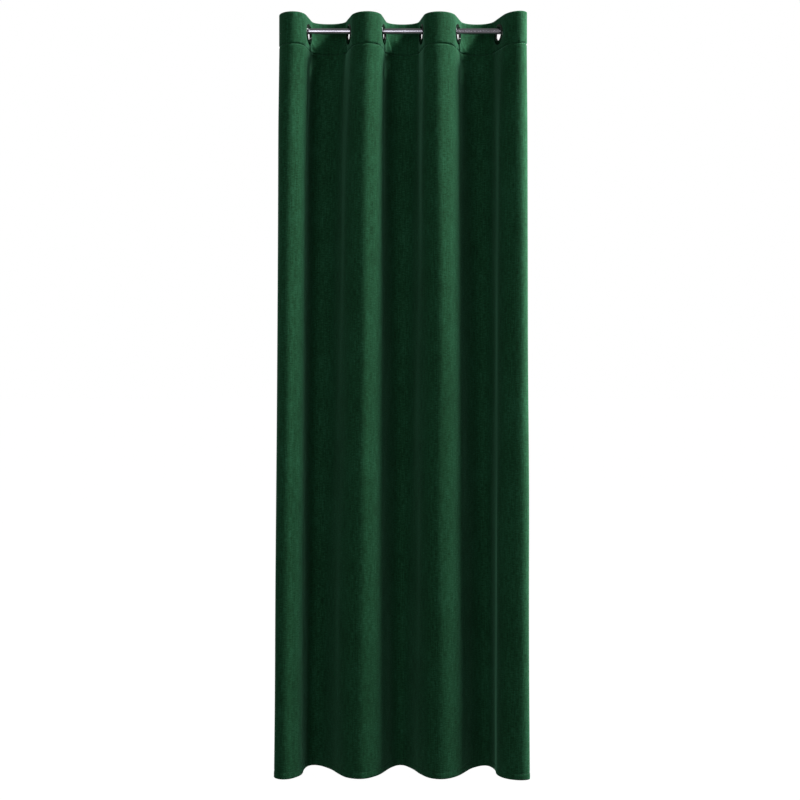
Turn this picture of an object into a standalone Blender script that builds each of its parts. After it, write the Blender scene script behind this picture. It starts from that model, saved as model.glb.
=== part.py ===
"""A velvet eyelet drape hanging in folds on a plain curtain rod.

Metres, +Z up. The origin is the centre of the rod's left end face, the rod runs along +X,
and the drape's velvet face looks towards -Y. The drape is one cloth whose top and bottom
edges are turned over and sewn, so its heading and its hem belong to the same solid.
"""

import math

import bmesh
import bpy
from mathutils import Matrix, Vector

# The flat cloth
CLOTH_WIDTH = 1.40
CLOTH_LENGTH = 2.50
CLOTH_THICKNESS = 0.0020
HEADING_THICKNESS = 0.0030
HEADING_HEIGHT = 0.103
HEM_HEIGHT = 0.020

# The eyelets along the heading
EYELET_SPACING = 0.208
EYELET_DROP = 0.053
EYELET_HOLE_RADIUS = 0.020
EYELET_FLANGE_RADIUS = 0.033
EYELET_FLANGE_HEIGHT = 0.0021
EYELET_BACK_HEIGHT = 0.0016
EYELET_EDGE = 0.0004
EYELET_WALL = 0.0017
EYELET_STEPS = 28

# The rod
ROD_RADIUS = 0.0095
ROD_LENGTH = 0.782
ROD_EDGE = 0.0005
ROD_SIDES = 32
SHARP_ANGLE = math.radians(40)

# Clearance between pieces that touch
GAP = 0.0003
# Room between the cut cloth and the eyelet's barrel
HOLE_ROOM = 0.0006

# Where the cloth hangs below the rod: the eyelets rest on top of it
EYELET_Z = -(EYELET_HOLE_RADIUS - ROD_RADIUS - GAP)
TOP_Z = EYELET_Z + EYELET_DROP

# One row per eyelet, left to right. Its fold line runs down the cloth below it: x along the rod,
# y in front (-) or behind (+) the rod's axis, and slope in degrees from the rod, 90 straight across.
FOLD_LINES = (
    {"top": {"x": 0.0850, "y": 0.0, "slope": 79}, "hem": {"x": 0.0655, "y": -0.004, "slope": 91}},
    {"top": {"x": 0.2190, "y": 0.0, "slope": 73}, "hem": {"x": 0.1790, "y": -0.012, "slope": 63}},
    {"top": {"x": 0.3335, "y": 0.0, "slope": 79}, "hem": {"x": 0.3290, "y": -0.012, "slope": 66}},
    {"top": {"x": 0.4605, "y": 0.0, "slope": 78}, "hem": {"x": 0.4495, "y": -0.012, "slope": 67}},
    {"top": {"x": 0.5800, "y": 0.0, "slope": 72}, "hem": {"x": 0.5970, "y": -0.014, "slope": 61}},
    {"top": {"x": 0.7160, "y": 0.0, "slope": 70}, "hem": {"x": 0.7060, "y": -0.016, "slope": 91}},
)
# The two side edges, which curl back: place and heading of the cloth as it runs left to right
LEFT_EDGE = {
    "top": {"x": -0.0095, "y": -0.016, "heading": -92},
    "hem": {"x": -0.0200, "y": -0.024, "heading": -102},
}
RIGHT_EDGE = {
    "top": {"x": 0.7930, "y": -0.022, "heading": 118},
    "hem": {"x": 0.7990, "y": -0.047, "heading": 120},
}

# The cloth grid: columns between eyelets and beyond the last ones, rows down the body
SPAN_COLUMNS = 12
FLAT_COLUMNS = 2
EDGE_COLUMNS = 10
BODY_ROWS = 9
ROW_SPREAD = 1.5
SEAM_HALF_WIDTH = 0.001
# The folds relax quickly just below the stiff heading, then slowly down to the hem
RELAX_SHARE = 0.3
RELAX_LENGTH = 0.15
# Flat stretch on each side of an eyelet's centre, where its flange holds the cloth straight
FLAT_HALF = EYELET_SPACING * FLAT_COLUMNS / SPAN_COLUMNS
EDGE_MARGIN = (CLOTH_WIDTH - EYELET_SPACING * (len(FOLD_LINES) - 1)) / 2

CURVE_SAMPLES = 160
BISECTIONS = 40

VELVET = {"color": (0.012, 0.085, 0.042, 1.0), "roughness": 0.85, "metallic": 0.0}
RING_METAL = {"color": (0.16, 0.16, 0.17, 1.0), "roughness": 0.22, "metallic": 1.0}
ROD_METAL = {"color": (0.62, 0.61, 0.63, 1.0), "roughness": 0.25, "metallic": 1.0}


def clear_scene():
    for obj in list(bpy.data.objects):
        bpy.data.objects.remove(obj, do_unlink=True)


def make_collection(name):
    collection = bpy.data.collections.new(name)
    bpy.context.scene.collection.children.link(collection)
    return collection


def make_material(name, look):
    material = bpy.data.materials.new(name)
    material.use_nodes = True
    shader = material.node_tree.nodes["Principled BSDF"]
    shader.inputs["Base Color"].default_value = look["color"]
    shader.inputs["Roughness"].default_value = look["roughness"]
    shader.inputs["Metallic"].default_value = look["metallic"]
    return material


def direction(angle):
    return Vector((math.cos(angle), math.sin(angle)))


def blend(first, last, amount):
    return first + (last - first) * amount


def blend_row(row, amount):
    return {key: blend(row["top"][key], row["hem"][key], amount) for key in row["top"]}


# ---------------------------------------------------------------- the hanging section

def relaxed(drop):
    """How far the section has gone from its heading shape (0) to its hem shape (1)."""
    below = max(0.0, drop - HEADING_HEIGHT)
    whole = CLOTH_LENGTH - HEADING_HEIGHT
    quick = (1 - math.exp(-below / RELAX_LENGTH)) / (1 - math.exp(-whole / RELAX_LENGTH))
    return RELAX_SHARE * quick + (1 - RELAX_SHARE) * below / whole


def bezier(start, start_angle, end, end_angle, handle):
    """Points of a cubic curve that leaves and arrives at the given angles."""
    points = []
    first = start + direction(start_angle) * handle
    last = end - direction(end_angle) * handle
    for i in range(CURVE_SAMPLES + 1):
        t = i / CURVE_SAMPLES
        s = 1 - t
        points.append(start * s**3 + first * (3 * s * s * t) + last * (3 * s * t * t) + end * t**3)
    return points


def polyline_length(points):
    return sum((b - a).length for a, b in zip(points, points[1:]))


def cloth_curve(start, start_angle, end, end_angle, arc):
    """A curve between two places that uses up exactly the given length of cloth."""
    low = 0.0
    high = 1.5 * arc
    for _ in range(BISECTIONS):
        handle = (low + high) / 2
        if polyline_length(bezier(start, start_angle, end, end_angle, handle)) < arc:
            low = handle
        else:
            high = handle
    return bezier(start, start_angle, end, end_angle, low)


def even_points(points, count):
    """The polyline's start and count - 1 more places at equal lengths, without its end."""
    step = polyline_length(points) / count
    result = [points[0]]
    travelled = 0.0
    for a, b in zip(points, points[1:]):
        piece = (b - a).length
        while len(result) < count and travelled + piece >= step * len(result):
            result.append(a.lerp(b, (step * len(result) - travelled) / piece))
        travelled += piece
    return result


def fold_lines_at(amount):
    """Each eyelet line's place and travelling angle: odd ones go back, even ones come forward."""
    lines = []
    for index, row in enumerate(FOLD_LINES):
        line = blend_row(row, amount)
        side = 1 if index % 2 == 0 else -1
        lines.append((Vector((line["x"], line["y"])), side * math.radians(line["slope"])))
    return lines


def section(drop):
    """The cloth's plan outline at a distance below its top edge, as evenly spaced points."""
    amount = relaxed(drop)
    flat = FLAT_HALF * (1 - amount) ** 2
    lines = fold_lines_at(amount)
    left = blend_row(LEFT_EDGE, amount)
    right = blend_row(RIGHT_EDGE, amount)

    place, angle = lines[0]
    start = Vector((left["x"], left["y"]))
    curve = cloth_curve(start, math.radians(left["heading"]), place - direction(angle) * flat, angle,
                        EDGE_MARGIN - flat)
    points = even_points(curve + [place], EDGE_COLUMNS)

    for (here, out), (there, back) in zip(lines, lines[1:]):
        curve = cloth_curve(here + direction(out) * flat, out, there - direction(back) * flat, back,
                            EYELET_SPACING - 2 * flat)
        points += even_points([here] + curve + [there], SPAN_COLUMNS)

    place, angle = lines[-1]
    end = Vector((right["x"], right["y"]))
    curve = cloth_curve(place + direction(angle) * flat, angle, end, math.radians(right["heading"]),
                        EDGE_MARGIN - flat)
    return points + even_points([place] + curve, EDGE_COLUMNS) + [end]


def row_drops():
    """Distances below the top edge of the grid's rows, closer together just below the heading."""
    first = HEADING_HEIGHT + SEAM_HALF_WIDTH
    last = CLOTH_LENGTH - HEM_HEIGHT - SEAM_HALF_WIDTH
    body = [blend(first, last, (i / BODY_ROWS) ** ROW_SPREAD) for i in range(BODY_ROWS + 1)]
    return [0.0, HEADING_HEIGHT - SEAM_HALF_WIDTH] + body + [last + 2 * SEAM_HALF_WIDTH, CLOTH_LENGTH]


# ---------------------------------------------------------------- the pieces

def make_panel(collection, material):
    """The drape's cloth: a sheet lofted through its sections, thicker where it is turned over."""
    mesh = bpy.data.meshes.new("velvet_panel")
    panel = bpy.data.objects.new("velvet_panel", mesh)
    collection.objects.link(panel)
    mesh.materials.append(material)
    doubled = panel.vertex_groups.new(name="turned_over")

    bm = bmesh.new()
    layer = bm.verts.layers.deform.verify()
    rows = []
    for drop in row_drops():
        turned = drop < HEADING_HEIGHT or drop > CLOTH_LENGTH - HEM_HEIGHT
        row = []
        for point in section(drop):
            vert = bm.verts.new((point.x, point.y, TOP_Z - drop))
            vert[layer][doubled.index] = 1.0 if turned else 0.0
            row.append(vert)
        rows.append(row)
    for upper, lower in zip(rows, rows[1:]):
        for i in range(len(upper) - 1):
            bm.faces.new((upper[i], lower[i], lower[i + 1], upper[i + 1]))
    for face in bm.faces:
        face.smooth = True
    bm.to_mesh(mesh)
    bm.free()

    solidify = panel.modifiers.new("thickness", "SOLIDIFY")
    solidify.thickness = HEADING_THICKNESS
    solidify.offset = 0.0
    solidify.vertex_group = doubled.name
    solidify.thickness_vertex_group = CLOTH_THICKNESS / HEADING_THICKNESS
    return panel


def eyelet_places():
    """A matrix per eyelet, with local Z out of the velvet face at the eyelet's centre."""
    places = []
    for place, angle in fold_lines_at(0.0):
        along = Vector((math.cos(angle), math.sin(angle), 0.0))
        out = Vector((math.sin(angle), -math.cos(angle), 0.0))
        up = out.cross(along)
        turn = Matrix((along, up, out)).transposed().to_4x4()
        places.append(Matrix.Translation((place.x, place.y, EYELET_Z)) @ turn)
    return places


def cut_eyelet_hole(panel, place, index, cutters):
    """A round hole through the heading, just wider than the eyelet's barrel."""
    mesh = bpy.data.meshes.new(f"hole_cutter_{index}")
    bm = bmesh.new()
    radius = EYELET_HOLE_RADIUS + EYELET_WALL + HOLE_ROOM
    bmesh.ops.create_cone(bm, cap_ends=True, segments=EYELET_STEPS, radius1=radius, radius2=radius,
                          depth=4 * HEADING_THICKNESS)
    bm.to_mesh(mesh)
    bm.free()
    cutter = bpy.data.objects.new(mesh.name, mesh)
    cutter.matrix_world = place
    cutter.hide_render = True
    cutter.display_type = "WIRE"
    cutters.objects.link(cutter)

    cut = panel.modifiers.new(f"eyelet_hole_{index}", "BOOLEAN")
    cut.operation = "DIFFERENCE"
    cut.solver = "EXACT"
    cut.object = cutter


def turned_mesh(name, profile, material):
    """A closed profile of (radius, height) points for a Screw modifier to turn."""
    mesh = bpy.data.meshes.new(name)
    bm = bmesh.new()
    verts = [bm.verts.new((radius, 0.0, height)) for radius, height in profile]
    for a, b in zip(verts, verts[1:] + verts[:1]):
        bm.edges.new((a, b))
    bm.to_mesh(mesh)
    bm.free()
    mesh.materials.append(material)
    return mesh


def add_screw(obj):
    screw = obj.modifiers.new("turn", "SCREW")
    screw.steps = EYELET_STEPS
    screw.render_steps = EYELET_STEPS
    screw.use_merge_vertices = True
    screw.merge_threshold = 0.00005
    screw.use_smooth_shade = True


def eyelet_profiles():
    """The pressed-together halves: a face flange with its barrel, and a flat ring behind."""
    face = HEADING_THICKNESS / 2 + GAP
    hole = EYELET_HOLE_RADIUS
    rim = EYELET_FLANGE_RADIUS
    width = rim - hole
    crown = face + EYELET_FLANGE_HEIGHT
    barrel = hole + EYELET_WALL
    socket = barrel + GAP
    front = (
        (hole + 0.15 * width, crown - EYELET_EDGE),
        (hole + 0.40 * width, crown),
        (hole + 0.75 * width, crown - EYELET_EDGE),
        (rim, face + EYELET_EDGE),
        (rim, face),
        (barrel, face),
        (barrel, -face - 0.75 * EYELET_BACK_HEIGHT),
        (hole, -face - 0.75 * EYELET_BACK_HEIGHT),
        (hole, face + 0.5 * EYELET_FLANGE_HEIGHT),
    )
    back = (
        (socket, -face),
        (rim, -face),
        (rim - 2 * EYELET_EDGE, -face - 0.75 * EYELET_BACK_HEIGHT),
        (socket + 3 * EYELET_EDGE, -face - EYELET_BACK_HEIGHT),
        (socket, -face - 0.6 * EYELET_BACK_HEIGHT),
    )
    return front, back


def make_eyelets(panel, collection, cutters, material):
    """Six eyelets, each of two halves, and the holes that they sit in."""
    front_profile, back_profile = eyelet_profiles()
    front_mesh = turned_mesh("eyelet_front", front_profile, material)
    back_mesh = turned_mesh("eyelet_back", back_profile, material)
    for index, place in enumerate(eyelet_places(), start=1):
        cut_eyelet_hole(panel, place, index, cutters)
        for mesh in (front_mesh, back_mesh):
            half = bpy.data.objects.new(f"{mesh.name}_{index}", mesh)
            half.matrix_world = place
            collection.objects.link(half)
            add_screw(half)


def make_rod(collection, material):
    """The plain round rod that the eyelets hang on, with slightly eased ends."""
    mesh = bpy.data.meshes.new("curtain_rod")
    bm = bmesh.new()
    bmesh.ops.create_cone(bm, cap_ends=True, segments=ROD_SIDES, radius1=ROD_RADIUS,
                          radius2=ROD_RADIUS, depth=ROD_LENGTH)
    bm.to_mesh(mesh)
    bm.free()
    mesh.materials.append(material)
    mesh.shade_smooth()
    mesh.set_sharp_from_angle(angle=SHARP_ANGLE)
    rod = bpy.data.objects.new("curtain_rod", mesh)
    rod.matrix_world = Matrix.Translation((ROD_LENGTH / 2, 0, 0)) @ Matrix.Rotation(math.pi / 2, 4, "Y")
    collection.objects.link(rod)
    bevel = rod.modifiers.new("eased_ends", "BEVEL")
    bevel.width = ROD_EDGE
    bevel.segments = 1
    bevel.limit_method = "ANGLE"


def main():
    clear_scene()
    parts = make_collection("velvet_drape_on_rod")
    cutters = make_collection("cutters")
    velvet = make_material("velvet", VELVET)
    ring_metal = make_material("ring_metal", RING_METAL)
    rod_metal = make_material("rod_metal", ROD_METAL)

    panel = make_panel(parts, velvet)
    make_eyelets(panel, parts, cutters, ring_metal)
    make_rod(parts, rod_metal)


main()
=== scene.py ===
"""Looks of the velvet eyelet drape on its rod: cloth with its seams and creases, rings, rod, light."""
import math

import bmesh
import bpy
import numpy as np
from mathutils import Matrix, Vector


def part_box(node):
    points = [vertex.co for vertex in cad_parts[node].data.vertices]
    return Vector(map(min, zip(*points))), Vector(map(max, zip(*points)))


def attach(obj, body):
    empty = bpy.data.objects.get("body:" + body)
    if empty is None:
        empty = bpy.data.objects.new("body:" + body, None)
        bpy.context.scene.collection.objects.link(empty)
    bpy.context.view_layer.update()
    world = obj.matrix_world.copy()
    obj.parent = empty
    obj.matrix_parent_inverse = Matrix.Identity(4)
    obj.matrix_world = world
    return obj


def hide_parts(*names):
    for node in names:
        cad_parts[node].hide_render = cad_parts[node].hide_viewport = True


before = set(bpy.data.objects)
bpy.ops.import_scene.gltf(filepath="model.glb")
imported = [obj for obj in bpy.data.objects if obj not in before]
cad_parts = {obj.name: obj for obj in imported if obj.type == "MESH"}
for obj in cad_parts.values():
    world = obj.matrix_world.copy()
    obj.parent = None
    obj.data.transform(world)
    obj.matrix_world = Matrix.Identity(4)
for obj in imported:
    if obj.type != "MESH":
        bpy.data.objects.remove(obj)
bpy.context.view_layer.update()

# The flat cloth, in metres
CLOTH_WIDTH = 1.40
CLOTH_LENGTH = 2.50
CLOTH_THICKNESS = 0.0020
HEADING_THICKNESS = 0.0030
HEADING_HEIGHT = 0.103
HEM_HEIGHT = 0.020

# The eyelets: spacing along the cloth, depth below its top edge, and ring sizes
EYELET_SPACING = 0.208
EYELET_DROP = 0.053
EYELET_HOLE_RADIUS = 0.020
EYELET_FLANGE_RADIUS = 0.033
HOLE_IN_CLOTH = 0.0223
FLANGE_HEIGHT = 0.0021
BACK_HEIGHT = 0.0016
GAP = 0.0003

# Where each eyelet's fold line lies (x along the rod, y in front (-) or behind the rod's axis) and
# its slope from the rod in degrees, at the heading and at the hem, as in the CAD model's cloth.
# Going right, the cloth runs backwards through the first eyelet, forwards through the next, and so on
FOLD_LINES = (
    {"top": {"x": 0.0850, "y": 0.0, "slope": 79}, "hem": {"x": 0.0655, "y": -0.004, "slope": 91}},
    {"top": {"x": 0.2190, "y": 0.0, "slope": 73}, "hem": {"x": 0.1790, "y": -0.012, "slope": 63}},
    {"top": {"x": 0.3335, "y": 0.0, "slope": 79}, "hem": {"x": 0.3290, "y": -0.012, "slope": 66}},
    {"top": {"x": 0.4605, "y": 0.0, "slope": 78}, "hem": {"x": 0.4495, "y": -0.012, "slope": 67}},
    {"top": {"x": 0.5800, "y": 0.0, "slope": 72}, "hem": {"x": 0.5970, "y": -0.014, "slope": 61}},
    {"top": {"x": 0.7160, "y": 0.0, "slope": 70}, "hem": {"x": 0.7060, "y": -0.016, "slope": 91}},
)
# The cloth's side edges, with the direction of the cloth there in degrees
LEFT_EDGE = {
    "top": {"x": -0.0095, "y": -0.016, "heading": -92},
    "hem": {"x": -0.0225, "y": -0.024, "heading": -102},
}
RIGHT_EDGE = {
    "top": {"x": 0.7930, "y": -0.022, "heading": 118},
    "hem": {"x": 0.8040, "y": -0.047, "heading": 120},
}
# Below the heading a share of the change towards the hem comes quickly, over the relax length
RELAX_SHARE = 0.3
RELAX_LENGTH = 0.15
# Half of the straight stretch at each eyelet, and the cloth outside the end eyelets
FLAT_HALF = EYELET_SPACING / 6
EDGE_MARGIN = (CLOTH_WIDTH - EYELET_SPACING * (len(FOLD_LINES) - 1)) / 2
CURVE_SAMPLES = 160
BISECTIONS = 30

# The visual cloth's grid: columns between eyelets and outside them, and rows in each stretch.
# The seam band is where the rows are closest, and the body's rows spread out downwards
SPAN_COLUMNS = 48
EDGE_COLUMNS = 40
HEADING_ROWS = 18
SEAM_ROWS = 26
BODY_ROWS = 76
HEM_ROWS = 9
SEAM_BAND = (0.090, 0.116)
BODY_SPREAD = 1.5
HEM_SEAM_MARGIN = 0.008

TOP_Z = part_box("velvet_panel")[1].z
EYELET_Z = TOP_Z - EYELET_DROP
ROD_LOW, ROD_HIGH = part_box("curtain_rod")
ROD_RADIUS = (ROD_HIGH.z - ROD_LOW.z) / 2
ROD_LENGTH = ROD_HIGH.x - ROD_LOW.x


# ---------------------------------------------------------------- small helpers

def direction(angle):
    return np.array((math.cos(angle), math.sin(angle)))


def blend(first, last, amount):
    return first + (last - first) * amount


def blend_row(row, amount):
    return {key: blend(row["top"][key], row["hem"][key], amount) for key in row["top"]}


def bump(distance, width):
    """A soft bell of height 1 and the given half width."""
    return np.exp(-(distance / width) ** 2)


# ---------------------------------------------------------------- the hanging section

def relaxed(drop):
    """How far the folds have changed from the heading's (0) to the hem's (1) at a drop."""
    below = max(0.0, drop - HEADING_HEIGHT)
    whole = CLOTH_LENGTH - HEADING_HEIGHT
    quick = (1 - math.exp(-below / RELAX_LENGTH)) / (1 - math.exp(-whole / RELAX_LENGTH))
    return RELAX_SHARE * quick + (1 - RELAX_SHARE) * below / whole


def bezier(start, start_angle, end, end_angle, handle):
    """A cubic curve that leaves and arrives at the given angles with equal handles."""
    t = np.linspace(0, 1, CURVE_SAMPLES + 1)[:, None]
    s = 1 - t
    first = start + direction(start_angle) * handle
    last = end - direction(end_angle) * handle
    return start * s**3 + first * (3 * s * s * t) + last * (3 * s * t * t) + end * t**3


def lengths(points):
    """The distance travelled along a polyline at each of its points."""
    steps = np.hypot(*np.diff(points, axis=0).T)
    return np.concatenate(([0.0], np.cumsum(steps)))


def cloth_curve(start, start_angle, end, end_angle, arc):
    """A curve between two places that uses up exactly the given length of cloth."""
    low = 0.0
    high = 1.5 * arc
    for _ in range(BISECTIONS):
        handle = (low + high) / 2
        if lengths(bezier(start, start_angle, end, end_angle, handle))[-1] < arc:
            low = handle
        else:
            high = handle
    return bezier(start, start_angle, end, end_angle, low)


def even_points(points, count):
    """count places at equal lengths along the polyline, with its start and without its end."""
    travelled = lengths(points)
    wanted = np.linspace(0, travelled[-1], count + 1)[:-1]
    return np.stack([np.interp(wanted, travelled, points[:, i]) for i in (0, 1)], axis=1)


def fold_lines_at(amount):
    """Each eyelet's place and the cloth's direction there, part of the way from heading to hem."""
    lines = []
    for index, row in enumerate(FOLD_LINES):
        line = blend_row(row, amount)
        side = 1 if index % 2 == 0 else -1
        lines.append((np.array((line["x"], line["y"])), side * math.radians(line["slope"])))
    return lines


def section(drop):
    """The cloth's plan outline at a distance below its top edge, as evenly spaced points."""
    amount = relaxed(drop)
    flat = FLAT_HALF * (1 - amount) ** 2
    lines = fold_lines_at(amount)
    # the side edges drift outwards evenly all the way down
    evenly = max(0.0, drop - HEADING_HEIGHT) / (CLOTH_LENGTH - HEADING_HEIGHT)
    left = blend_row(LEFT_EDGE, evenly)
    right = blend_row(RIGHT_EDGE, evenly)

    place, angle = lines[0]
    start = np.array((left["x"], left["y"]))
    curve = cloth_curve(start, math.radians(left["heading"]), place - direction(angle) * flat, angle,
                        EDGE_MARGIN - flat)
    parts = [even_points(np.vstack((curve, place)), EDGE_COLUMNS)]
    for (here, out), (there, back) in zip(lines, lines[1:]):
        curve = cloth_curve(here + direction(out) * flat, out, there - direction(back) * flat, back,
                            EYELET_SPACING - 2 * flat)
        parts.append(even_points(np.vstack((here, curve, there)), SPAN_COLUMNS))
    place, angle = lines[-1]
    end = np.array((right["x"], right["y"]))
    curve = cloth_curve(place + direction(angle) * flat, angle, end, math.radians(right["heading"]),
                        EDGE_MARGIN - flat)
    parts.append(even_points(np.vstack((place, curve)), EDGE_COLUMNS))
    parts.append(end[None])
    return np.vstack(parts)


def cloth_columns():
    """Each grid column's distance across the flat cloth from its left edge."""
    left = np.linspace(0, EDGE_MARGIN, EDGE_COLUMNS + 1)[:-1]
    spans = [EDGE_MARGIN + EYELET_SPACING * (k + np.arange(SPAN_COLUMNS) / SPAN_COLUMNS)
             for k in range(len(FOLD_LINES) - 1)]
    right = np.linspace(CLOTH_WIDTH - EDGE_MARGIN, CLOTH_WIDTH, EDGE_COLUMNS + 1)
    return np.concatenate((left, *spans, right))


def cloth_rows():
    """Each grid row's distance below the top edge, closest together at the heading's seam."""
    heading = np.linspace(0, SEAM_BAND[0], HEADING_ROWS + 1)[:-1]
    seam = np.linspace(*SEAM_BAND, SEAM_ROWS + 1)[:-1]
    hem_top = CLOTH_LENGTH - HEM_HEIGHT - HEM_SEAM_MARGIN
    body = blend(SEAM_BAND[1], hem_top, np.linspace(0, 1, BODY_ROWS + 1)[:-1] ** BODY_SPREAD)
    hem = np.linspace(hem_top, CLOTH_LENGTH, HEM_ROWS)
    return np.concatenate((heading, seam, body, hem))


# ---------------------------------------------------------------- seams, puckers and creases

# Soft creases set on the flat cloth: from (u, v) to (u, v) in metres across and down,
# with their height out of the velvet face and half width
CREASES = (
    # heading, slanting between the rings and the seam
    {"from": (0.205, 0.060), "to": (0.245, 0.100), "height": 0.0032, "width": 0.006},
    {"from": (0.212, 0.085), "to": (0.265, 0.104), "height": -0.0030, "width": 0.006},
    {"from": (0.130, 0.098), "to": (0.160, 0.072), "height": 0.0016, "width": 0.007},
    {"from": (0.355, 0.070), "to": (0.325, 0.104), "height": 0.0042, "width": 0.006},
    {"from": (0.365, 0.090), "to": (0.345, 0.106), "height": -0.0036, "width": 0.005},
    {"from": (0.410, 0.065), "to": (0.440, 0.098), "height": 0.0018, "width": 0.007},
    {"from": (0.575, 0.092), "to": (0.560, 0.062), "height": 0.0016, "width": 0.006},
    {"from": (0.640, 0.055), "to": (0.655, 0.100), "height": 0.0044, "width": 0.005},
    {"from": (0.655, 0.060), "to": (0.672, 0.102), "height": -0.0044, "width": 0.005},
    {"from": (0.675, 0.055), "to": (0.690, 0.098), "height": 0.0038, "width": 0.005},
    {"from": (0.760, 0.070), "to": (0.735, 0.104), "height": -0.0018, "width": 0.006},
    {"from": (0.835, 0.066), "to": (0.865, 0.100), "height": 0.0018, "width": 0.007},
    {"from": (0.975, 0.070), "to": (0.945, 0.102), "height": 0.0020, "width": 0.006},
    {"from": (1.050, 0.070), "to": (1.080, 0.102), "height": 0.0030, "width": 0.006},
    {"from": (1.180, 0.072), "to": (1.150, 0.104), "height": -0.0018, "width": 0.006},
    {"from": (1.250, 0.068), "to": (1.290, 0.100), "height": 0.0016, "width": 0.007},
    # body, short and faint, left by folding
    {"from": (0.470, 0.335), "to": (0.520, 0.345), "height": -0.0012, "width": 0.006},
    {"from": (0.880, 0.610), "to": (0.930, 0.600), "height": -0.0012, "width": 0.006},
    {"from": (1.290, 0.700), "to": (1.350, 0.712), "height": -0.0014, "width": 0.007},
    {"from": (0.470, 0.240), "to": (0.475, 0.330), "height": 0.0010, "width": 0.008},
    {"from": (0.060, 0.900), "to": (0.110, 0.890), "height": -0.0010, "width": 0.008},
    {"from": (0.500, 1.250), "to": (0.560, 1.262), "height": -0.0010, "width": 0.008},
    {"from": (0.900, 1.300), "to": (0.960, 1.290), "height": -0.0010, "width": 0.008},
)

# How far the cloth swells out just under the heading's seam, beside each eyelet's line
SWELLS = (
    {"u": 0.150, "height": 0.0055, "width": 0.050},
    {"u": 0.215, "height": 0.0020, "width": 0.020},
    {"u": 0.400, "height": 0.0030, "width": 0.030},
    {"u": 0.565, "height": 0.0055, "width": 0.045},
    {"u": 0.830, "height": 0.0030, "width": 0.030},
    {"u": 0.985, "height": 0.0055, "width": 0.045},
    {"u": 1.250, "height": 0.0035, "width": 0.040},
)
SWELL_RISE = 0.012
SWELL_FALL = 0.085

# Grooves of the two seams, and the gathers that the heading's stitches draw in
SEAM_DEPTH = 0.0036
SEAM_WIDTH = 0.0030
HEM_SEAM_DEPTH = 0.0009
HEM_SEAM_WIDTH = 0.0030
GATHER_PITCH = 0.021
GATHER_HEIGHT = 0.00045
GATHER_REACH = 0.012

# Slow unevenness of the hanging cloth, and the drop over which it comes in
SWAY_HEIGHT = 0.0011
RIPPLE_HEIGHT = 0.0005
SWAY_START = 0.25

# Past its flange a ring holds the cloth flat over this much more
PRESSED_MARGIN = 0.012
CREASE_FADE = 0.6


def crease_height(u, v, crease):
    """A soft ridge or trough along a line, fading out at both its ends."""
    start = np.array(crease["from"])
    along = np.array(crease["to"]) - start
    reach = np.hypot(*along)
    along = along / reach
    forward = (u - start[0]) * along[0] + (v - start[1]) * along[1]
    sideways = (v - start[1]) * along[0] - (u - start[0]) * along[1]
    middle = (forward - reach / 2) / (reach * CREASE_FADE)
    return crease["height"] * bump(sideways, crease["width"]) * np.exp(-(middle**4))


def relief(u, v):
    """How far the velvet face stands out of its smooth section, over the flat cloth."""
    height = -SEAM_DEPTH * bump(v - HEADING_HEIGHT, SEAM_WIDTH)
    height = height - HEM_SEAM_DEPTH * bump(v - (CLOTH_LENGTH - HEM_HEIGHT), HEM_SEAM_WIDTH)
    below = np.clip(v - HEADING_HEIGHT, 0, None)
    swell_down = (1 - np.exp(-below / SWELL_RISE)) * np.exp(-below / SWELL_FALL)
    for swell in SWELLS:
        height = height + swell["height"] * bump(u - swell["u"], swell["width"]) * swell_down
    for crease in CREASES:
        height = height + crease_height(u, v, crease)
    # slow unevenness of hanging cloth, fading out in the stiff heading
    hang = np.clip((v - HEADING_HEIGHT) / SWAY_START, 0, 1)
    sway = np.sin(u * 41 + 1.7 * np.sin(v * 2.1)) * np.sin(v * 3.3 + u * 5.0)
    ripple = np.sin(u * 97 + 0.9 * np.sin(v * 3.7 + 1.1)) * np.sin(v * 5.1 + u * 9.0 + 0.6)
    height = height + hang * (SWAY_HEIGHT * sway + RIPPLE_HEIGHT * ripple)
    # short gathers drawn in by the seam's stitches
    gathers = np.sin(u * 2 * math.pi / GATHER_PITCH + 1.3 * np.sin(u * 19))
    gathers = gathers * (0.6 + 0.4 * np.sin(u * 33))
    height = height + GATHER_HEIGHT * gathers * bump(v - HEADING_HEIGHT, GATHER_REACH)
    # the rings press the cloth flat
    for k in range(len(FOLD_LINES)):
        away = np.hypot(u - EDGE_MARGIN - k * EYELET_SPACING, v - EYELET_DROP)
        height = height * np.clip((away - EYELET_FLANGE_RADIUS) / PRESSED_MARGIN, 0, 1)
    return height


def surface_point(spot, tangent, drop, out):
    """A place on the cloth moved out of its velvet face."""
    normal = np.stack((tangent[..., 1], -tangent[..., 0]), axis=-1)
    flat = spot + normal * out[..., None]
    return np.concatenate((flat, np.full(flat.shape[:-1] + (1,), TOP_Z - drop)), axis=-1)


def cloth_grid(columns, drops, lift=0.0):
    """The velvet sheet's middle surface as an array of rows of points."""
    rows = []
    for drop in drops:
        points = section(drop)
        tangent = np.gradient(points, axis=0)
        tangent = tangent / np.hypot(*tangent.T)[:, None]
        rows.append(surface_point(points, tangent, drop, relief(columns, drop) + lift))
    return np.array(rows)


# ---------------------------------------------------------------- materials

def new_material(name):
    """A material with its nodes, its links and its surface shader."""
    material = bpy.data.materials.new(name)
    material.use_nodes = True
    nodes = material.node_tree.nodes
    return material, nodes, material.node_tree.links, nodes["Principled BSDF"]


def add(nodes, kind, **values):
    """A node with the named inputs or settings given."""
    node = nodes.new(kind)
    for key, value in values.items():
        if key in node.inputs:
            node.inputs[key].default_value = value
        else:
            setattr(node, key, value)
    return node


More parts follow.
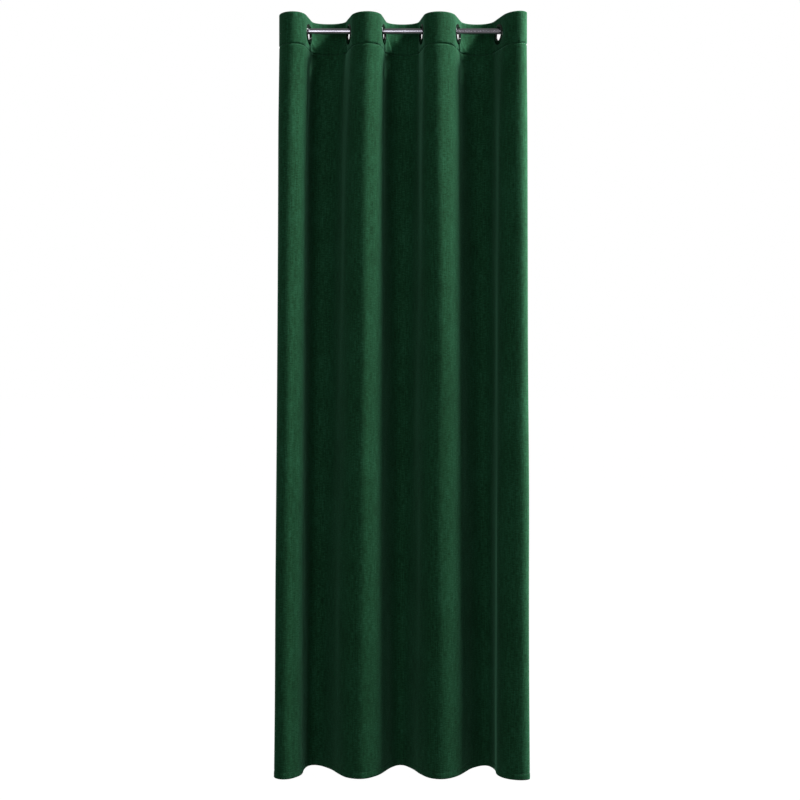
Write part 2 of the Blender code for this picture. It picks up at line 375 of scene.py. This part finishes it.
def scaled_cloth(nodes, links, across, down):
    """The flat cloth's coordinates, stretched so that noise runs along its threads."""
    uv = add(nodes, "ShaderNodeUVMap", uv_map="flat_cloth")
    mapping = nodes.new("ShaderNodeMapping")
    mapping.inputs["Scale"].default_value = (across, down, 1.0)
    links.new(uv.outputs["UV"], mapping.inputs["Vector"])
    return mapping.outputs["Vector"]


def noise(nodes, links, vector, scale, detail=3.0, roughness=0.6):
    """A noise texture's value over the given coordinates."""
    node = add(nodes, "ShaderNodeTexNoise", Scale=scale, Detail=detail, Roughness=roughness)
    links.new(vector, node.inputs["Vector"])
    return node.outputs["Fac"]


def mix_values(nodes, links, first, second, share):
    """Two values mixed, with the given share of the second."""
    node = add(nodes, "ShaderNodeMix", data_type="FLOAT")
    node.inputs["Factor"].default_value = share
    links.new(first, node.inputs[2])
    links.new(second, node.inputs[3])
    return node.outputs[0]


def color_ramp(nodes, links, value, stops):
    """A value turned into colour through (position, colour) stops."""
    ramp = nodes.new("ShaderNodeValToRGB")
    elements = ramp.color_ramp.elements
    while len(elements) < len(stops):
        elements.new(0.5)
    for element, (place, color) in zip(elements, stops):
        element.position = place
        element.color = (*color, 1.0)
    links.new(value, ramp.inputs["Fac"])
    return ramp.outputs["Color"]


def velvet_material():
    """Short dense pile: deep green, mottled along the threads, with a pale soft sheen."""
    material, nodes, links, shader = new_material("velvet_pile")
    weft = noise(nodes, links, scaled_cloth(nodes, links, 1.0, 5.0), scale=70, detail=4.0)
    warp = noise(nodes, links, scaled_cloth(nodes, links, 4.0, 0.35), scale=60)
    cloudy = noise(nodes, links, scaled_cloth(nodes, links, 1.0, 0.6), scale=9)
    fine = noise(nodes, links, scaled_cloth(nodes, links, 1.0, 1.0), scale=420, roughness=0.7)
    threads = mix_values(nodes, links, weft, warp, 0.4)
    mottle = mix_values(nodes, links, threads, fine, 0.35)
    mottle = mix_values(nodes, links, mottle, cloudy, 0.12)
    color = color_ramp(nodes, links, mottle, (
        (0.41, (0.0036, 0.027, 0.0100)),
        (0.50, (0.0080, 0.056, 0.0215)),
        (0.59, (0.0185, 0.097, 0.048)),
    ))
    links.new(color, shader.inputs["Base Color"])
    shader.inputs["Roughness"].default_value = 0.9
    shader.inputs["Specular IOR Level"].default_value = 0.12
    shader.inputs["Sheen Weight"].default_value = 0.55
    shader.inputs["Sheen Roughness"].default_value = 0.38
    shader.inputs["Sheen Tint"].default_value = (0.24, 0.66, 0.42, 1.0)
    pile = add(nodes, "ShaderNodeBump", Strength=0.55, Distance=0.0012)
    links.new(mottle, pile.inputs["Height"])
    links.new(pile.outputs["Normal"], shader.inputs["Normal"])
    return material


def backing_material():
    """The reverse: the flat woven ground without pile, duller and a little paler."""
    material, nodes, links, shader = new_material("velvet_backing")
    vector = scaled_cloth(nodes, links, 1.0, 1.0)
    warp = add(nodes, "ShaderNodeTexWave", Scale=300.0, Distortion=1.5, bands_direction="X")
    weft = add(nodes, "ShaderNodeTexWave", Scale=300.0, Distortion=1.5, bands_direction="Y")
    links.new(vector, warp.inputs["Vector"])
    links.new(vector, weft.inputs["Vector"])
    weave = mix_values(nodes, links, warp.outputs["Fac"], weft.outputs["Fac"], 0.5)
    patch = noise(nodes, links, vector, scale=40)
    both = mix_values(nodes, links, weave, patch, 0.5)
    color = color_ramp(nodes, links, both, (
        (0.25, (0.010, 0.050, 0.028)),
        (0.75, (0.028, 0.105, 0.064)),
    ))
    links.new(color, shader.inputs["Base Color"])
    shader.inputs["Roughness"].default_value = 0.85
    shader.inputs["Specular IOR Level"].default_value = 0.2
    shader.inputs["Sheen Weight"].default_value = 0.15
    shader.inputs["Sheen Roughness"].default_value = 0.5
    shader.inputs["Sheen Tint"].default_value = (0.3, 0.6, 0.45, 1.0)
    grain = add(nodes, "ShaderNodeBump", Strength=0.4, Distance=0.0004)
    links.new(weave, grain.inputs["Height"])
    links.new(grain.outputs["Normal"], shader.inputs["Normal"])
    return material


def thread_material():
    """Sewing thread in the cloth's green, a little glossier than the pile."""
    material, nodes, links, shader = new_material("sewing_thread")
    place = add(nodes, "ShaderNodeTexCoord").outputs["Object"]
    twist = noise(nodes, links, place, scale=900, detail=2.0)
    color = color_ramp(nodes, links, twist, (
        (0.3, (0.004, 0.030, 0.015)),
        (0.7, (0.012, 0.060, 0.034)),
    ))
    links.new(color, shader.inputs["Base Color"])
    shader.inputs["Roughness"].default_value = 0.6
    return material


def metal_material(name, dark, light, low_rough, high_rough, stretch):
    """Polished metal with faint brushing and fingermarks in its gloss."""
    material, nodes, links, shader = new_material(name)
    place = add(nodes, "ShaderNodeTexCoord").outputs["Object"]
    mapping = nodes.new("ShaderNodeMapping")
    mapping.inputs["Scale"].default_value = stretch
    links.new(place, mapping.inputs["Vector"])
    brushed = noise(nodes, links, mapping.outputs["Vector"], scale=260)
    smudge = noise(nodes, links, place, scale=14)
    worn = mix_values(nodes, links, brushed, smudge, 0.5)
    color = color_ramp(nodes, links, smudge, ((0.35, dark), (0.65, light)))
    links.new(color, shader.inputs["Base Color"])
    shader.inputs["Metallic"].default_value = 1.0
    gloss = add(nodes, "ShaderNodeMapRange")
    gloss.inputs["To Min"].default_value = low_rough
    gloss.inputs["To Max"].default_value = high_rough
    links.new(worn, gloss.inputs["Value"])
    links.new(gloss.outputs["Result"], shader.inputs["Roughness"])
    grain = add(nodes, "ShaderNodeBump", Strength=0.12, Distance=0.0002)
    links.new(brushed, grain.inputs["Height"])
    links.new(grain.outputs["Normal"], shader.inputs["Normal"])
    return material


# ---------------------------------------------------------------- pieces

HOLE_STEPS = 64
CUTTER_DEPTH = 0.012
RING_STEPS = 64
RING_SHARP = math.radians(50)
BARREL_CLEARANCE = 0.0006
BARREL_REACH = 0.75 * BACK_HEIGHT
ROD_STEPS = 96
ROD_EASING = 0.0008
ROD_SHARP = math.radians(35)
STITCH_PITCH = 0.0036
STITCH_LENGTH = 0.0026
STITCH_SINK = 0.0002
STITCH_MARGIN = 0.006
THREAD_RADIUS = 0.00045


def mesh_object(name, bm, *materials):
    """An object in the scene made of the finished bmesh, with its materials."""
    mesh = bpy.data.meshes.new(name)
    bm.to_mesh(mesh)
    bm.free()
    for material in materials:
        mesh.materials.append(material)
    obj = bpy.data.objects.new(name, mesh)
    bpy.context.scene.collection.objects.link(obj)
    return obj


def apply_modifiers(obj):
    """Keeps the evaluated mesh and drops the modifiers that made it."""
    graph = bpy.context.evaluated_depsgraph_get()
    made = bpy.data.meshes.new_from_object(obj.evaluated_get(graph))
    obj.modifiers.clear()
    obj.data = made


def make_cloth(face, backing):
    """The velvet sheet with its thickness, its velvet and backing faces and its eyelet holes."""
    columns = cloth_columns()
    drops = cloth_rows()
    grid = cloth_grid(columns, drops)
    bm = bmesh.new()
    weights = bm.verts.layers.deform.verify()
    uv = bm.loops.layers.uv.new("flat_cloth")
    verts = []
    for drop, row in zip(drops, grid):
        turned = drop <= HEADING_HEIGHT or drop >= CLOTH_LENGTH - HEM_HEIGHT
        made = [bm.verts.new(point) for point in row]
        for vert in made:
            vert[weights][0] = 1.0 if turned else 0.0
        verts.append(made)
    for r in range(len(drops) - 1):
        for c in range(len(columns) - 1):
            corners = ((r, c), (r + 1, c), (r + 1, c + 1), (r, c + 1))
            made = bm.faces.new([verts[i][j] for i, j in corners])
            made.smooth = True
            for loop, (i, j) in zip(made.loops, corners):
                loop[uv].uv = (columns[j], CLOTH_LENGTH - drops[i])
    cloth = mesh_object("velvet_cloth", bm, face, backing)
    doubled = cloth.vertex_groups.new(name="turned_over")

    solidify = cloth.modifiers.new("thickness", "SOLIDIFY")
    solidify.thickness = HEADING_THICKNESS
    solidify.offset = 0.0
    solidify.vertex_group = doubled.name
    solidify.thickness_vertex_group = CLOTH_THICKNESS / HEADING_THICKNESS
    solidify.material_offset = 1
    apply_modifiers(cloth)

    cutters = [hole_cutter(index, place) for index, place in enumerate(eyelet_places(), start=1)]
    for cutter in cutters:
        cut = cloth.modifiers.new(cutter.name, "BOOLEAN")
        cut.operation = "DIFFERENCE"
        cut.solver = "EXACT"
        cut.object = cutter
    apply_modifiers(cloth)
    for cutter in cutters:
        bpy.data.objects.remove(cutter, do_unlink=True)
    return cloth


def eyelet_places():
    """A matrix per eyelet, with local Z out of the velvet face at the eyelet's centre."""
    places = []
    for place, angle in fold_lines_at(0.0):
        along = Vector((math.cos(angle), math.sin(angle), 0.0))
        out = Vector((math.sin(angle), -math.cos(angle), 0.0))
        turn = Matrix((along, out.cross(along), out)).transposed().to_4x4()
        places.append(Matrix.Translation((place[0], place[1], EYELET_Z)) @ turn)
    return places


def hole_cutter(index, place):
    """The round plug that an eyelet's hole in the cloth is cut with."""
    bm = bmesh.new()
    bmesh.ops.create_cone(bm, cap_ends=True, segments=HOLE_STEPS, radius1=HOLE_IN_CLOTH,
                          radius2=HOLE_IN_CLOTH, depth=CUTTER_DEPTH, matrix=place)
    return mesh_object(f"hole_cutter_{index}", bm)


def smooth_round(name, bm, sharp_angle, material):
    """The turned piece shaded smooth, with its edges sharper than the angle kept crisp."""
    bmesh.ops.recalc_face_normals(bm, faces=bm.faces)
    piece = mesh_object(name, bm, material)
    piece.data.shade_smooth()
    piece.data.set_sharp_from_angle(angle=sharp_angle)
    return piece


def turn_profile(name, profile, place, material):
    """A closed profile of (radius, height) points turned about the placed Z axis."""
    bm = bmesh.new()
    loops = []
    for k in range(RING_STEPS):
        angle = 2 * math.pi * k / RING_STEPS
        loops.append([bm.verts.new(place @ Vector((r * math.cos(angle), r * math.sin(angle), z)))
                      for r, z in profile])
    for k in range(RING_STEPS):
        here = loops[k]
        there = loops[(k + 1) % RING_STEPS]
        for i in range(len(profile)):
            j = (i + 1) % len(profile)
            bm.faces.new((here[i], here[j], there[j], there[i]))
    return smooth_round(name, bm, RING_SHARP, material)


def arc_points(center_r, center_z, radius_r, radius_z, first, last, count):
    """Points of an elliptical arc from one angle to another, in degrees."""
    angles = np.radians(np.linspace(first, last, count))
    return [(center_r + radius_r * math.cos(a), center_z + radius_z * math.sin(a)) for a in angles]


def make_eyelet(index, place, material):
    """Both halves of an eyelet: a domed face flange with its barrel, and the ring behind."""
    face = HEADING_THICKNESS / 2 + GAP
    hole = EYELET_HOLE_RADIUS
    rim = EYELET_FLANGE_RADIUS
    middle = (hole + rim) / 2
    half = (rim - hole) / 2
    barrel = HOLE_IN_CLOTH - BARREL_CLEARANCE
    back_middle = (barrel + GAP + rim) / 2
    back_half = (rim - barrel - GAP) / 2
    front = [(barrel, -face - BARREL_REACH), (barrel, face)]
    front += arc_points(middle, face, half, FLANGE_HEIGHT, 0, 180, 15)
    front += [(hole, -face - BARREL_REACH)]
    back = [(barrel + GAP, -face)]
    back += arc_points(back_middle, -face, back_half, BACK_HEIGHT, -180, -360, 11)
    pieces = []
    for side, profile in (("front", front), ("back", back)):
        piece = turn_profile(f"eyelet_{side}_ring_{index}", profile, place, material)
        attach(piece, "root")
        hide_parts(f"eyelet_{side}_{index}")
        pieces.append(piece)
    return pieces


def make_rod(material):
    """The plain round rod, with eased edges at its flat ends."""
    eased = ROD_RADIUS - ROD_EASING
    outline = [(eased, 0.0), (ROD_RADIUS, ROD_EASING)]
    outline += [(ROD_RADIUS, ROD_LENGTH - ROD_EASING), (eased, ROD_LENGTH)]
    bm = bmesh.new()
    caps = [bm.verts.new((0, 0, 0)), bm.verts.new((ROD_LENGTH, 0, 0))]
    rings = []
    for r, x in outline:
        rings.append([bm.verts.new((x, r * math.cos(a), r * math.sin(a)))
                      for a in np.linspace(0, 2 * math.pi, ROD_STEPS, endpoint=False)])
    for k in range(ROD_STEPS):
        n = (k + 1) % ROD_STEPS
        bm.faces.new((caps[0], rings[0][n], rings[0][k]))
        bm.faces.new((caps[1], rings[-1][k], rings[-1][n]))
        for a, b in zip(rings, rings[1:]):
            bm.faces.new((a[k], a[n], b[n], b[k]))
    rod = smooth_round("polished_rod", bm, ROD_SHARP, material)
    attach(rod, "root")
    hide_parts("curtain_rod")
    return rod


def make_stitches(name, drop, thickness, material):
    """A row of machine stitches along the cloth, sunk into its velvet face."""
    columns = cloth_columns()
    row = cloth_grid(columns, [drop], thickness / 2 - STITCH_SINK)[0]
    bm = bmesh.new()
    u = STITCH_MARGIN
    while u < CLOTH_WIDTH - STITCH_MARGIN:
        ends = [Vector([np.interp(place, columns, row[:, i]) for i in range(3)])
                for place in (u, u + STITCH_LENGTH)]
        run = ends[1] - ends[0]
        turn = run.to_track_quat("Z", "Y").to_matrix().to_4x4()
        size = Matrix.Diagonal((THREAD_RADIUS, THREAD_RADIUS, run.length / 2, 1.0))
        place = Matrix.Translation((ends[0] + ends[1]) / 2) @ turn @ size
        bmesh.ops.create_uvsphere(bm, u_segments=6, v_segments=4, radius=1.0, matrix=place)
        u += STITCH_PITCH
    row_of_stitches = mesh_object(name, bm, material)
    row_of_stitches.data.shade_smooth()
    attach(row_of_stitches, "root")
    return row_of_stitches


# ---------------------------------------------------------------- camera, lights and floor

# The camera stands level with the middle of the drape and looks straight at it
CAMERA_DISTANCE = 4.010
BACK_OF_FOLDS = 0.0768
CAMERA_X = 0.388
CAMERA_LENS = 53.31
SENSOR_WIDTH = 36.0
CAMERA_SHIFT = -0.00625
MIDDLE_Z = TOP_Z - CLOTH_LENGTH / 2
FLOOR_Z = TOP_Z - CLOTH_LENGTH - 0.020
FLOOR_SIZE = 400.0
SOFT_LIGHT = 0.14

# A key high on the right, a wide fill in front, and a strip level with the front of the folds
LIGHTS = (
    {"name": "key", "place": (CAMERA_X + 2.75, -0.66, TOP_Z + 2.3), "aim": (CAMERA_X, 0, TOP_Z - 0.5),
     "size": (0.7, 0.7), "power": 345, "color": (1.0, 1.0, 0.98)},
    {"name": "fill", "place": (CAMERA_X - 1.0, -4.2, TOP_Z - 0.6), "aim": (CAMERA_X, 0, MIDDLE_Z),
     "size": (2.4, 2.4), "power": 46, "color": (0.95, 0.98, 1.0)},
    {"name": "rim", "place": (CAMERA_X + 2.6, -0.08, TOP_Z - 0.6), "aim": (CAMERA_X, -0.08, TOP_Z - 0.9),
     "size": (0.2, 2.0), "power": 150, "color": (0.95, 1.0, 0.97)},
)


def add_area(name, place, aim, size, power, color):
    light = bpy.data.lights.new(name, "AREA")
    light.shape = "RECTANGLE"
    light.size = size[0]
    light.size_y = size[1]
    light.energy = power
    light.color = color
    holder = bpy.data.objects.new(name, light)
    holder.location = place
    holder.rotation_euler = (Vector(aim) - Vector(place)).to_track_quat("-Z", "Y").to_euler()
    bpy.context.scene.collection.objects.link(holder)


def make_camera():
    camera = bpy.data.cameras.new("camera")
    camera.lens = CAMERA_LENS
    camera.sensor_width = SENSOR_WIDTH
    camera.shift_y = CAMERA_SHIFT
    holder = bpy.data.objects.new("camera", camera)
    holder.location = (CAMERA_X, BACK_OF_FOLDS - CAMERA_DISTANCE, MIDDLE_Z)
    holder.rotation_euler = (math.pi / 2, 0, 0)
    bpy.context.scene.collection.objects.link(holder)
    bpy.context.scene.camera = holder


def make_floor():
    """A white floor that shines by itself, so that it runs on into the white behind it."""
    white, _, _, shader = new_material("white_floor")
    shader.inputs["Base Color"].default_value = (0.02, 0.02, 0.02, 1.0)
    shader.inputs["Roughness"].default_value = 1.0
    shader.inputs["Specular IOR Level"].default_value = 0.0
    shader.inputs["Emission Color"].default_value = (1.0, 1.0, 1.0, 1.0)
    shader.inputs["Emission Strength"].default_value = 1.0
    bm = bmesh.new()
    bmesh.ops.create_grid(bm, x_segments=1, y_segments=1, size=FLOOR_SIZE,
                          matrix=Matrix.Translation((CAMERA_X, 0, FLOOR_Z)))
    floor = mesh_object("floor", bm, white)
    floor.visible_diffuse = False
    floor.visible_glossy = False


def make_world():
    """White where the camera sees it, and a weak greenish light everywhere else."""
    world = bpy.data.worlds.new("studio")
    bpy.context.scene.world = world
    world.use_nodes = True
    nodes = world.node_tree.nodes
    links = world.node_tree.links
    nodes.clear()
    seen = add(nodes, "ShaderNodeBackground", Color=(1.0, 1.0, 1.0, 1.0), Strength=1.0)
    soft = add(nodes, "ShaderNodeBackground", Color=(0.94, 1.0, 0.92, 1.0), Strength=SOFT_LIGHT)
    path = nodes.new("ShaderNodeLightPath")
    mix = nodes.new("ShaderNodeMixShader")
    output = nodes.new("ShaderNodeOutputWorld")
    links.new(path.outputs["Is Camera Ray"], mix.inputs["Fac"])
    links.new(soft.outputs["Background"], mix.inputs[1])
    links.new(seen.outputs["Background"], mix.inputs[2])
    links.new(mix.outputs["Shader"], output.inputs["Surface"])


def make_stage():
    make_camera()
    make_floor()
    make_world()
    bpy.context.scene.view_settings.view_transform = "Standard"
    for light in LIGHTS:
        add_area(**light)


def main():
    velvet = velvet_material()
    backing = backing_material()
    thread = thread_material()
    ring_metal = metal_material("dark_nickel", dark=(0.030, 0.036, 0.034), light=(0.085, 0.095, 0.090),
                                low_rough=0.12, high_rough=0.30, stretch=(1.0, 1.0, 1.0))
    rod_metal = metal_material("polished_steel", dark=(0.52, 0.47, 0.56), light=(0.70, 0.65, 0.75),
                               low_rough=0.10, high_rough=0.26, stretch=(0.04, 1.0, 1.0))

    cloth = make_cloth(velvet, backing)
    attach(cloth, "root")
    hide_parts("velvet_panel")
    rings = []
    for index, place in enumerate(eyelet_places(), start=1):
        rings += make_eyelet(index, place, ring_metal)
    rod = make_rod(rod_metal)
    seam = make_stitches("heading_stitches", HEADING_HEIGHT, HEADING_THICKNESS, thread)
    hem = make_stitches("hem_stitches", CLOTH_LENGTH - HEM_HEIGHT, HEADING_THICKNESS, thread)
    make_stage()


main()
